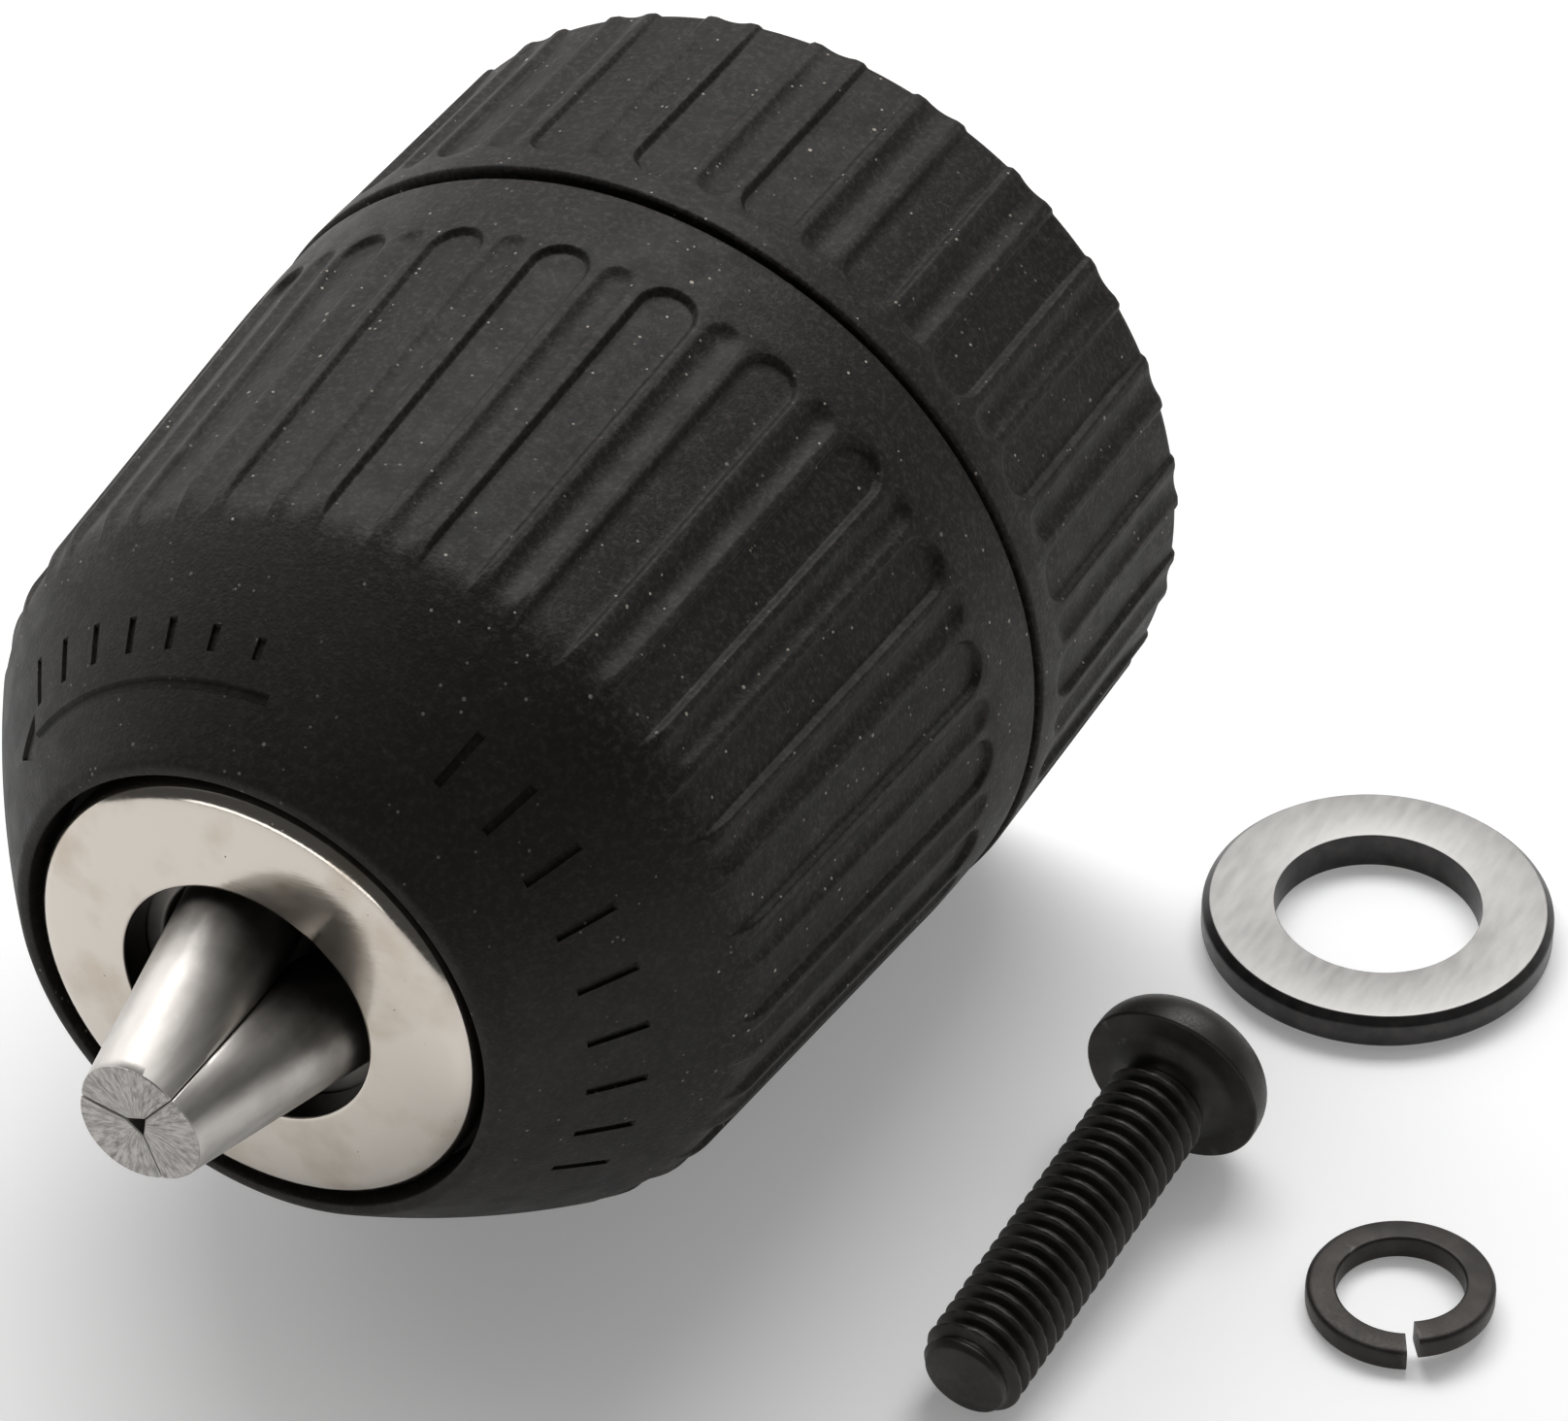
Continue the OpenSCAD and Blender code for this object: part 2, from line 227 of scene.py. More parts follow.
def cut(piece, cutter):
    """Cuts the cutter out of the piece and removes it."""
    modifier = piece.modifiers.new("cut", "BOOLEAN")
    modifier.operation = "DIFFERENCE"
    modifier.solver = "MANIFOLD"
    modifier.object = cutter
    evaluated = piece.evaluated_get(bpy.context.evaluated_depsgraph_get())
    result = bpy.data.meshes.new_from_object(evaluated)
    piece.modifiers.clear()
    piece.data = result
    bpy.data.objects.remove(cutter)


def dress(piece, body, material, node):
    """Gives the piece its material and its body, and hides the CAD node that it stands for."""
    piece.data.materials.clear()
    piece.data.materials.append(material)
    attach(piece, body)
    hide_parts(node)


# -------------------------------- material helpers

def pick(sockets, name):
    """The socket with that identifier or name. An underscore stands for a space in a name."""
    return next(s for s in sockets if s.identifier == name or s.name == name.replace("_", " "))


class Finish:
    """A Principled material, with its constants on the shader's own sockets. Sizes are in mm."""

    def __init__(self, name, constants):
        self.material = bpy.data.materials.new(name)
        self.material.use_nodes = True
        self.tree = self.material.node_tree
        self.shader = next(n for n in self.tree.nodes if n.type == "BSDF_PRINCIPLED")
        for socket, value in constants.items():
            self.shader.inputs[socket].default_value = value
        self.where = self.add("ShaderNodeTexCoord", out="Object")

    def add(self, kind, settings=None, out=0, **inputs):
        """Adds a node and returns its output out. An input is a value or another node's output."""
        node = self.tree.nodes.new(kind)
        for key, value in (settings or {}).items():
            setattr(node, key, value)
        for key, value in inputs.items():
            socket = pick(node.inputs, key)
            if isinstance(value, bpy.types.NodeSocket):
                self.tree.links.new(value, socket)
            else:
                socket.default_value = value
        return node.outputs[out] if isinstance(out, int) else pick(node.outputs, out)

    def stretched(self, x, y, z):
        """Object coordinates scaled along each axis."""
        return self.add("ShaderNodeVectorMath", {"operation": "MULTIPLY"}, Vector=self.where,
                        Vector_001=(x, y, z))

    def noise(self, size, detail=3.0, rough=0.5, where=None):
        return self.add("ShaderNodeTexNoise", Vector=where or self.where, Scale=1 / (size * MM),
                        Detail=detail, Roughness=rough)

    def dots(self, size, low, high, patches, low_patch, high_patch):
        """Round dots, one to a cell, that fade from low to high, kept where patches is high."""
        away = self.add("ShaderNodeTexVoronoi", out="Distance", Vector=self.where,
                        Scale=1 / (size * MM))
        dot = self.spread(away, low, high, 1, 0)
        return self.times(dot, self.spread(patches, low_patch, high_patch))

    def times(self, first, second):
        return self.math("MULTIPLY", first, second)

    def plus(self, first, second):
        return self.math("ADD", first, second)

    def math(self, operation, first, second=0.0):
        return self.add("ShaderNodeMath", {"operation": operation}, Value=first, Value_001=second)

    def spread(self, value, low, high, to_low=0.0, to_high=1.0):
        """Maps low..high to to_low..to_high, held at the ends."""
        return self.add("ShaderNodeMapRange", Value=value, From_Min=low, From_Max=high,
                        To_Min=to_low, To_Max=to_high)

    def mix(self, factor, first, second):
        colours = [c if isinstance(c, bpy.types.NodeSocket) else (*c, 1.0) for c in (first, second)]
        return self.add("ShaderNodeMix", {"data_type": "RGBA"}, out="Result_Color",
                        Factor_Float=factor, A_Color=colours[0], B_Color=colours[1])

    def axis(self, letter):
        """One of the object coordinates, in metres."""
        return self.add("ShaderNodeSeparateXYZ", out=letter, Vector=self.where)

    def radius(self):
        """Distance from the chuck's axis, in metres."""
        return self.add("ShaderNodeVectorMath", {"operation": "LENGTH"}, out="Value",
                        Vector=self.stretched(1, 0, 1))

    def bump(self, height, depth, under=None):
        """A bump whose full height is depth."""
        inputs = {"Height": height, "Distance": depth * MM, "Strength": 1.0}
        if under is not None:
            inputs["Normal"] = under
        return self.add("ShaderNodeBump", **inputs)

    def use(self, colour=None, roughness=None, normal=None, metallic=None):
        for socket, source in (("Base Color", colour), ("Roughness", roughness), ("Normal", normal),
                               ("Metallic", metallic)):
            if source is not None:
                self.tree.links.new(source, self.shader.inputs[socket])
        return self.material


# -------------------------------- materials

def plastic():
    """Black moulded plastic with a fine grain and pale dust, which is thinner on the nose cone."""
    f = Finish("black_moulded_plastic", {"Specular IOR Level": 0.22})
    tone = f.noise(9, detail=4)
    body = f.mix(f.spread(tone, 0.35, 0.65), (0.0082, 0.0070, 0.0062), (0.0122, 0.0105, 0.0093))
    mottle = f.spread(f.noise(0.3, detail=3, rough=0.7), 0.47, 0.74)
    on_barrel = f.spread(f.axis("Y"), -41.5 * MM, -39.5 * MM, 0.3, 1)
    dusty = f.times(f.spread(f.noise(6, detail=3), 0.4, 0.6, 0.35, 1), on_barrel)
    mottle = f.times(mottle, f.spread(on_barrel, 0.3, 1, 0.45, 1))
    body = f.mix(mottle, body, (0.048, 0.0405, 0.0345))
    fine = f.dots(0.6, 0.09, 0.14, f.noise(0.9, detail=0), 0.54, 0.62)
    coarse = f.dots(1.8, 0.04, 0.065, f.noise(2.6, detail=0), 0.5, 0.55)
    specks = f.times(f.math("MAXIMUM", fine, coarse), dusty)
    body = f.mix(specks, body, (0.45, 0.41, 0.36))
    rough = f.spread(f.noise(1.6, detail=4), 0.3, 0.7, 0.5, 0.62)
    waves = f.bump(f.noise(2.2, detail=1), 0.012)
    grain = f.bump(f.noise(0.16, detail=2, rough=0.6), 0.028, waves)
    return f.use(colour=body, roughness=rough, normal=f.bump(specks, 0.03, grain))


def nickel():
    """Polished nickel plate with a warm tint, faint stains, pits, buffing lines and painted shade
    in its bore.
    """
    f = Finish("polished_nickel", {"Metallic": 1.0})
    stain = f.spread(f.noise(3.2, detail=4), 0.5, 0.72)
    colour = f.mix(stain, (0.58, 0.535, 0.48), (0.49, 0.43, 0.36))
    pits = f.dots(0.5, 0.05, 0.09, f.noise(1.1, detail=1), 0.62, 0.66)
    colour = f.mix(pits, colour, (0.18, 0.16, 0.14))
    # Painted shade: the wall of the bore is painted nearly black and made rougher.
    bore = f.spread(f.radius(), (RING_HOLE_R + 0.03) * MM, (RING_HOLE_R + 0.09) * MM, 1, 0)
    colour = f.mix(bore, colour, (0.085, 0.075, 0.066))
    buffing = f.noise(1.0, detail=2, where=f.stretched(1, 1, 14))
    rough = f.plus(f.spread(buffing, 0.35, 0.65, 0.10, 0.17), f.spread(stain, 0, 1, 0, 0.07))
    rough = f.plus(rough, f.times(bore, 0.2))
    waves = f.bump(f.noise(4.5, detail=1), 0.01)
    lines = f.bump(buffing, 0.0012, waves)
    return f.use(colour=colour, roughness=rough, normal=f.bump(pits, -0.02, lines))


def jaw_steel():
    """Ground tool steel: streaks along the jaws, painted shade toward their roots, a scratched tip
    face.
    """
    f = Finish("ground_jaw_steel", {"Metallic": 1.0})
    streak = f.noise(0.5, detail=3, where=f.stretched(1, 0.08, 1))
    blotch = f.spread(f.noise(2.4, detail=4), 0.5, 0.7)
    side = f.mix(f.spread(streak, 0.3, 0.7), (0.50, 0.475, 0.445), (0.60, 0.575, 0.545))
    side = f.mix(f.times(blotch, 0.45), side, (0.33, 0.30, 0.275))
    # Painted shade: the jaws darken toward their roots, where they go into the ring.
    reach = f.plus(f.axis("Y"), f.times(f.noise(1.5, detail=4), 3 * MM))
    painted_root_shade = f.spread(reach, (6.8 - JAW_TIP) * MM, (10 - JAW_TIP) * MM, 0, 0.85)
    side = f.mix(painted_root_shade, side, (0.13, 0.12, 0.11))
    turn = f.math("ARCTAN2", f.axis("Z"), f.axis("X"))
    fan = f.add("ShaderNodeCombineXYZ", X=f.times(turn, 0.9 * MM), Y=f.times(f.axis("X"), 0.12),
                Z=f.times(f.axis("Z"), 0.12))
    scratch = f.noise(0.075, detail=3, rough=0.65, where=fan)
    face = f.mix(f.spread(scratch, 0.28, 0.62), (0.17, 0.16, 0.15), (0.46, 0.44, 0.42))
    on_face = f.spread(f.axis("Y"), (-JAW_TIP + 0.03) * MM, (-JAW_TIP + 0.01) * MM, 0, 1)
    colour = f.mix(on_face, side, face)
    rough = f.mix(on_face, (0.4, 0.4, 0.4), (0.5, 0.5, 0.5))
    rough = f.plus(rough, f.spread(streak, 0.3, 0.7, -0.05, 0.05))
    side_bump = f.bump(streak, 0.004)
    scratches = f.bump(f.times(scratch, on_face), 0.02, side_bump)
    return f.use(colour=colour, roughness=rough, normal=scratches)


def turned_steel(name, dark, light, rough=0.34):
    """Turned steel: fine rings about the chuck's axis, with a little staining."""
    f = Finish(name, {"Metallic": 1.0})
    rings = f.noise(0.12, detail=2, where=f.stretched(0.03, 1, 0.03))
    stain = f.spread(f.noise(4, detail=4), 0.4, 0.7)
    colour = f.mix(stain, light, dark)
    lines = f.spread(rings, 0.3, 0.7, rough - 0.06, rough + 0.06)
    roughness = f.plus(lines, f.spread(stain, 0, 1, 0, 0.1))
    return f.use(colour=colour, roughness=roughness, normal=f.bump(rings, 0.004))


def blackened(name, dark, light):
    """Blackened steel: an uneven dark coat that is rubbed thin along its edges."""
    f = Finish(name, {"Metallic": 0.5, "Specular IOR Level": 0.4})
    coat = f.spread(f.noise(1.4, detail=4), 0.35, 0.65)
    colour = f.mix(coat, dark, light)
    edge = f.add("ShaderNodeNewGeometry", out="Pointiness")
    rubbed = f.times(f.spread(edge, 0.53, 0.6), f.spread(f.noise(0.5, detail=3), 0.4, 0.7))
    colour = f.mix(f.times(rubbed, 0.5), colour, (0.2, 0.19, 0.185))
    grain = f.noise(0.12, detail=3)
    roughness = f.spread(grain, 0.3, 0.7, 0.4, 0.54)
    return f.use(colour=colour, roughness=roughness, normal=f.bump(grain, 0.006))


def ground_washer():
    """The spacer washer: a ground pale top and bottom, with its edges and bore still blackened."""
    f = Finish("ground_washer", {"Metallic": 0.5})
    low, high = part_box("spacer_washer")
    middle, half = (low.z + high.z) / 2, (high.z - low.z) / 2
    away = f.math("ABSOLUTE", f.math("SUBTRACT", f.axis("Z"), middle))
    ragged = f.times(f.math("SUBTRACT", f.noise(0.5, detail=3), 0.5), 0.02 * MM)
    face = f.spread(f.plus(away, ragged), half - 0.035 * MM, half - 0.015 * MM)
    swirl = f.noise(0.4, detail=3, where=f.stretched(1, 0.25, 1))
    speck = f.spread(f.noise(0.22, detail=3), 0.62, 0.72)
    pale = f.mix(f.spread(swirl, 0.3, 0.7), (0.32, 0.313, 0.302), (0.37, 0.362, 0.35))
    pale = f.mix(f.times(speck, 0.5), pale, (0.33, 0.32, 0.31))
    coat = f.spread(f.noise(0.8, detail=3), 0.35, 0.65)
    dark = f.mix(coat, (0.028, 0.026, 0.026), (0.048, 0.045, 0.044))
    rough = f.spread(swirl, 0.3, 0.7, 0.3, 0.4)
    return f.use(colour=f.mix(face, dark, pale), roughness=rough, normal=f.bump(swirl, 0.004))


def ball_steel():
    f = Finish("ball_steel", {"Metallic": 1.0})
    haze = f.noise(0.6, detail=3)
    colour = f.mix(haze, (0.62, 0.62, 0.63), (0.74, 0.74, 0.75))
    rough = f.spread(haze, 0.3, 0.7, 0.08, 0.16)
    return f.use(colour=colour, roughness=rough, normal=f.bump(haze, 0.001))


def floor_paper():
    f = Finish("pale_floor", {"Specular IOR Level": 0.2, "Roughness": 0.8,
                              "Emission Color": (1, 1, 1, 1), "Emission Strength": 0.22})
    tone = f.mix(f.noise(60, detail=2), (0.89, 0.89, 0.89), (0.91, 0.91, 0.91))
    return f.use(colour=tone)


PLASTIC = plastic()
NICKEL = nickel()
JAW_STEEL = jaw_steel()
BODY_STEEL = turned_steel("body_steel", (0.09, 0.083, 0.078), (0.17, 0.16, 0.15), rough=0.42)
NUT_STEEL = turned_steel("nut_steel", (0.34, 0.33, 0.33), (0.5, 0.5, 0.5))
RACE_STEEL = turned_steel("race_steel", (0.48, 0.48, 0.49), (0.62, 0.62, 0.63), rough=0.2)
CAGE_BRASS = turned_steel("cage_brass", (0.50, 0.36, 0.16), (0.66, 0.49, 0.24), rough=0.3)
BALL_STEEL = ball_steel()
SCREW_BLACK = blackened("screw_black", (0.023, 0.0205, 0.019), (0.038, 0.0345, 0.032))
LOCK_BLACK = blackened("lock_black", (0.024, 0.0205, 0.0185), (0.042, 0.0365, 0.033))
WASHER_GROUND = ground_washer()


# -------------------------------- sleeves

def smooth_min(a, b, blend):
    """The smaller of the two, rounded where they lie within blend of each other."""
    overlap = np.clip(blend - np.abs(a - b), 0, None) / blend
    return np.minimum(a, b) - overlap * overlap * blend / 4


def ease(t):
    """0 to 1 as t goes from 0 to 1, level at both ends."""
    t = np.clip(t, 0, 1)
    return t * t * (3 - 2 * t)


def wide_depth(distance):
    """A flat floor with soft, steep walls, by distance from the recess's centre line."""
    return WIDE_DEPTH * ease((WIDE_EDGE - distance) / WIDE_WALL)


def narrow_depth(distance):
    """A concave groove with soft edges."""
    hollow = NARROW_DEPTH * (1 - (distance / NARROW_HALF) ** 2)
    return -smooth_min(-hollow, 0, RIDGE_ROUND)


def cone(station):
    """Radius of the slightly convex nose cone."""
    t = (station - BARREL_END) / (LIP - 0.1 - BARREL_END)
    return BARREL_R + (LIP_R - BARREL_R) * t + CONE_BULGE * 4 * t * (1 - t)


def front_surface(station, depth):
    """Radius of the front sleeve: a barrel that drops a little at the seam, then the nose cone."""
    drop = SEAM_DROP * np.clip(1 - (station - FRONT_SEAM) / SEAM_DROP_LENGTH, 0, 1) ** 2
    barrel = BARREL_R + BARREL_SLOPE * (BARREL_END - station) - drop
    return smooth_min(barrel - depth, cone(station), EDGE_BLEND)


def rear_fade(station):
    """The share of their depth that the rear sleeve's recesses keep toward its rear edge."""
    return 0.5 + 0.5 * ease((station - REAR_EDGE) / 4)


def rear_surface(station, depth):
    """Radius of the rear sleeve, which tapers from the seam to its rear edge."""
    outer = SEAM_R + (REAR_R - SEAM_R) * (REAR_SEAM - station) / (REAR_SEAM - REAR_EDGE)
    return outer - depth * rear_fade(station)


def rear_lean(angle, station):
    """How far the rear sleeve's rings lie off square: most at the seam, which opens on one side."""
    lean = REAR_LEAN * (np.cos(angle - REAR_LEAN_TOWARD) - REAR_LEVEL)
    lean = np.maximum(lean, REAR_LEAN_FLOOR)
    return lean * (station - REAR_EDGE) / (REAR_SEAM - REAR_EDGE)


def recess_cell(loops, centre, near, rows):
    """Loops of (arc, distance from the seam) round one recess, from its centre line outward.

    The last loop is the cell's edge and the one before it the recess's. centre is where the round
    end's centre lies, near the cell's side toward the seam, and rows the distances of all rows that
    both kinds of cell share.
    """
    sides = rows[(rows > near) & (rows < centre)][::-1]
    straights = rows[rows >= centre]
    edge, cell = loops[-2:]
    across = np.concatenate([loops[::-1], -loops[1:]])
    flanks = np.concatenate([straights[::-1], sides])
    rim = np.concatenate([
        np.stack([np.full_like(flanks, cell), flanks], -1),
        np.stack([across, np.full_like(across, near)], -1),
        np.stack([np.full_like(flanks, -cell), flanks[::-1]], -1),
    ])
    anchor = np.stack([np.zeros(len(rim)), np.maximum(rim[:, 1], centre)], -1)
    reach = np.linalg.norm(rim - anchor, axis=1, keepdims=True)
    away = (rim - anchor) / reach
    made = []
    for width in loops:
        share = max(0.0, (width - edge) / (cell - edge))
        made.append(anchor + away * (min(width, edge) + (reach - edge) * share))
    return np.stack(made)


def recess_loops(floor_half, edge, cell, inner, walls):
    """Half-widths of a cell's loops: a few over the floor, more over the wall, and the cell's."""
    over_floor = np.linspace(0, floor_half, inner)[:-1]
    return np.concatenate([over_floor, np.linspace(floor_half, edge, walls), [cell]])


WIDE_LOOPS = recess_loops(WIDE_EDGE - WIDE_WALL, WIDE_EDGE, WIDE_CELL, 4, 8)
NARROW_LOOPS = recess_loops(NARROW_FLOOR, NARROW_EDGE, NARROW_CELL, 4, 7)


def square(angle, station):
    """No lean: the sleeve's rings lie square to its axis."""
    return 0


def sleeve(name, seam, direction, turn, band, far_rows, surface, strip, lean=square):
    """A sleeve: a cell round each recess of its barrel, and a strip round its edges and inside.

    seam is the station of its seam face and direction the way that the barrel goes from there. The
    strip's rows are (radius, station, share of the recess's depth), from the barrel's far end back
    to the cells' near side. lean gives what is added to each point's station.
    """
    wide_centre = band + WIDE_HALF
    narrow_centre = band + NARROW_START + NARROW_HALF
    near = band - BAND_OVERLAP
    start = math.radians(90 + turn)
    ends = [np.linspace(near, narrow_centre, 5), np.linspace(narrow_centre, wide_centre, 4)]
    rows = np.unique(np.round(np.concatenate([*ends, wide_centre + far_rows]), 6))
    cells = [
        (recess_cell(WIDE_LOOPS, wide_centre, near, rows), wide_centre, wide_depth, 0),
        (recess_cell(NARROW_LOOPS, narrow_centre, near, rows), narrow_centre, narrow_depth, 1),
    ]
    made = Mesh()
    for i in range(RECESSES):
        for cell, centre, depth_at, halves in cells:
            arc, along = cell[..., 0], cell[..., 1]
            depth = depth_at(np.hypot(arc, np.minimum(along - centre, 0)))
            station = seam + direction * along
            angle = (arc + (2 * i + halves) * HALF_PERIOD) / SEAM_R + start
            leaning = station + lean(angle, station)
            made.add_grid(about_axis(surface(station, depth), angle, leaning))
    narrow = NARROW_LOOPS[:-1]
    arcs = np.concatenate([WIDE_LOOPS, -WIDE_LOOPS, HALF_PERIOD + narrow, HALF_PERIOD - narrow])
    arcs = np.unique(np.round(arcs, 6))
    from_wide, from_narrow = np.abs(arcs), np.abs(arcs - HALF_PERIOD)
    depth = np.where(arcs <= WIDE_CELL, wide_depth(from_wide), narrow_depth(from_narrow))
    angles = np.concatenate([arcs + 2 * i * HALF_PERIOD for i in range(RECESSES)]) / SEAM_R + start
    radius = strip[:, :1] - strip[:, 2:] * np.tile(depth, RECESSES)
    station = strip[:, 1:2] + lean(angles[None, :], strip[:, 1:2])
    made.add_grid(about_axis(radius, angles[None, :], station), wrap_columns=True)
    return made.build(name)


def with_share(outline, share=0.0):
    """The outline as a strip for sleeve(), all with one share of the recess's depth."""
    return np.column_stack([outline, np.full(len(outline), share)])


def front_sleeve():
    """The front sleeve. Its recesses run on past the barrel's end, where the cone cuts them off."""
    run_out = np.concatenate([np.linspace(0, 15.4, 8), np.linspace(15.5, 18.6, 26), [19.0, 19.5]])
    far = FRONT_SEAM + FRONT_BAND + WIDE_HALF + run_out[-1]
    cone_rows = np.linspace(far, LIP - 0.7, 12)
    near = FRONT_SEAM + FRONT_BAND - BAND_OVERLAP
    band_rows = np.linspace(FRONT_SEAM + 0.4, near, 6)
    inside = rounded([
        (front_surface(cone_rows[-1], 0), cone_rows[-1], 0), (LIP_R, LIP - 0.1, 0.3),
        (MOUTH_R, LIP - 0.15, 0.12), (MOUTH_R, 46, 0), (8.8, 46, 0.1), (8.8, 45.1, 0.1),
        (13.2, 45.1, 0), (13.2, 43, 0), (17.2, 38, 0), (18.2, 37.2, 0), (18.2, FRONT_SEAM, 0.1),
        (front_surface(FRONT_SEAM, 0), FRONT_SEAM, 0.22),
        *((front_surface(station, 0), station, 0) for station in band_rows)])
    strip = np.column_stack([front_surface(cone_rows, 0), cone_rows])[:-1]
    strip = with_share(np.vstack([strip, inside]))
    return sleeve("front_sleeve_grip", FRONT_SEAM, 1, 0, FRONT_BAND, run_out, front_surface, strip)


def rear_sleeve():
    """The rear sleeve. Its recesses run out over its rounded rear edge."""
    far = REAR_EDGE + REAR_EDGE_ROUND
    near = REAR_SEAM - REAR_BAND + BAND_OVERLAP
    sunk = REAR_EDGE + 0.35
    wall = REAR_EDGE + 1
    bend = rounded([
        (rear_surface(far, 0), far, 0), (REAR_R, REAR_EDGE, REAR_EDGE_ROUND * 0.98),
        (19.9, REAR_EDGE, 0)])
    inside = rounded([
        (19, REAR_EDGE, 0), (18.6, REAR_EDGE, 0.1), (18.4, sunk, 0.1), (12.2, sunk, 0.1),
        (12, REAR_EDGE, 0.1), (10.15, REAR_EDGE, 0.1), (10.05, wall, 0), (18.6, wall, 0.3),
        (18.6, 12.9, 0), (17.95, 13.6, 0), (17.95, REAR_SEAM, 0.1), (SEAM_R, REAR_SEAM, 0.22),
        (rear_surface(near, 0), near, 0)])
    strip = np.vstack([with_share(bend, rear_fade(far)), with_share(inside)])
    rows = np.linspace(0, REAR_SEAM - REAR_EDGE - REAR_EDGE_ROUND - REAR_BAND - WIDE_HALF, 13)
    return sleeve("rear_sleeve_grip", REAR_SEAM, -1, REAR_TURN, REAR_BAND, rows, rear_surface,
                  strip, rear_lean)


def engraving(cutters, start, end, middle, first_half, last_half=None, steps=2):
    """Adds a cutter that sinks a mark into the nose cone between two angles.

    Its half-width goes from first_half at its start to last_half, or stays the same.
    """
    depth, clear = 0.22, 1
    if last_half is None:
        last_half = first_half
    t = np.linspace(0, 1, steps + 1)
    angle = np.radians(start + (end - start) * t)
    half = first_half + (last_half - first_half) * t
    low, high = middle - half, middle + half
    corners = [about_axis(cone(side) + lift, angle, side)
               for side, lift in ((low, -depth), (low, clear), (high, clear), (high, -depth))]
    cutters.add_grid(np.stack(corners, 1), wrap_columns=True)
    ends = np.stack([points[[0, -1]] for points in corners], 1)
    cutters.add(ends[0], np.array([[0, 1, 2, 3]]))
    cutters.add(ends[1], np.array([[0, 1, 2, 3]]))


def engrave(piece):
    """Plain marks on the nose cone: an arrow under growing bars, and a row of equal bars."""
    bar_turn, growth = 1.5, 0.09
    strokes, head = Mesh(), Mesh()
    engraving(strokes, 90, 149.5, 46, 0.22, steps=40)
    for i in range(7):
        angle = 94 + 8.6 * i
        engraving(strokes, angle, angle + bar_turn, 44.45 - growth * i, 0.4 + growth * i)
    for i in range(9):
        angle = 58.5 - 11 * i
        engraving(strokes, angle - bar_turn, angle, 44.4, 1.15)
    engraving(head, 148.5, 155.5, 45.9, 0.95, 0.07, steps=6)
    cut(piece, strokes.build("stroke_cutter"))
    cut(piece, head.build("arrowhead_cutter"))
    smooth(piece)


front = front_sleeve()
engrave(front)
dress(front, "sleeve", PLASTIC, "front_sleeve")
rear = rear_sleeve()
dress(rear, "chuck", PLASTIC, "rear_sleeve")


# -------------------------------- nose ring and body

def nose_ring():
    """The ring, with a generous rim. Behind its front wall it is bored out to seat on the body."""
    outer, seat = 10.84, 8.65
    outline = rounded([
        (seat, RING_REAR, 0), (outer, RING_REAR, 0.1), (outer, RING_FRONT - 0.5, 1),
        (8.7, RING_FRONT - 0.14, 0.9), (RING_HOLE_R, RING_FRONT, 0.22), (RING_HOLE_R, 47.7, 0),
        (seat, 47.7, 0)], steps=8)
    return place(lathe(outline, 192).build("nose_ring_polished"), ALONG_AXIS)


def triangle_wave(x):
    """1 at whole numbers and 0 half way between them."""
    return 2 * np.abs(x - np.floor(x) - 0.5)


def chuck_body():
    """The body, with a real 3/8-24 thread in its bore and three holes that the jaws slide in."""
    minor_r, thread_depth, thread_end, pitch = 4.25, 0.5, 14.2, 25.4 / 24

    def spindle_thread(angle, height):
        inside = ease((thread_end - height) / 0.6) * ease(height / 0.5)
        profile = np.clip(1.25 * triangle_wave(height / pitch - angle / (2 * math.pi)) - 0.12, 0, 1)
        return np.where(bore, thread_depth * profile * inside, 0)

    outline = rounded([
        (minor_r, 0, 0.1), (10, 0, 0.45), (10, 13.6, 0), (17.85, 13.6, 0.2), (17.85, 17.6, 0),
        (15.2, 17.6, 0), (15.2, 18.6, 0), (10.8, 19.2, 0.3), (10.8, 30, 0.3), (13, 30, 0.2),
        (13, 44.9, 0.3), (8.6, 44.9, 0), (8.6, 47.5, 0.2), (5.2, 47.5, 0.25), (5.2, 18, 0.3),
        (2.9, 18, 0.1), (2.9, 14.5, 0), (minor_r, 14.5, 0)])
    heights = np.arange(14.4, 0.15, -pitch / 12)
    turns = np.column_stack([np.full_like(heights, minor_r), heights])
    bore = np.concatenate([np.zeros(len(outline)), np.ones(len(heights))])[:, None] > 0
    piece = lathe(np.vstack([outline, turns]), 96, ripple=spindle_thread).build("chuck_body_turned")
    hole_r, back, front = JAW_R + JAW_CLEARANCE, -62, 8
    hole = np.array([(0, back), (hole_r, back), (hole_r, front), (0, front)], float)
    for i in range(3):
        cutter = lathe(hole, 64, closed=False).build("jaw_hole_cutter")
        cut(piece, place(cutter, jaw_frame(i)))
    place(piece, ALONG_AXIS)
    smooth(piece, 30)
    return piece


def jaw_frame(index):
    """From a jaw's own axis, with its tip at the origin, to the upright chuck, in metres."""
    turn = Matrix.Rotation(math.radians(JAW_CLOCK + 120 * index), 4, "Z")
    tip = Matrix.Translation((JAW_OFFSET * MM, 0, JAW_TIP * MM))
    return turn @ tip @ Matrix.Rotation(-JAW_SLOPE, 4, "Y")


dress(nose_ring(), "chuck", NICKEL, "nose_ring")
dress(chuck_body(), "chuck", BODY_STEEL, "chuck_body")


# -------------------------------- jaws

def rod_centre(station):
    """How far a jaw's own axis lies from the chuck's at a station."""
    return JAW_OFFSET + math.tan(JAW_SLOPE) * (JAW_TIP - station)


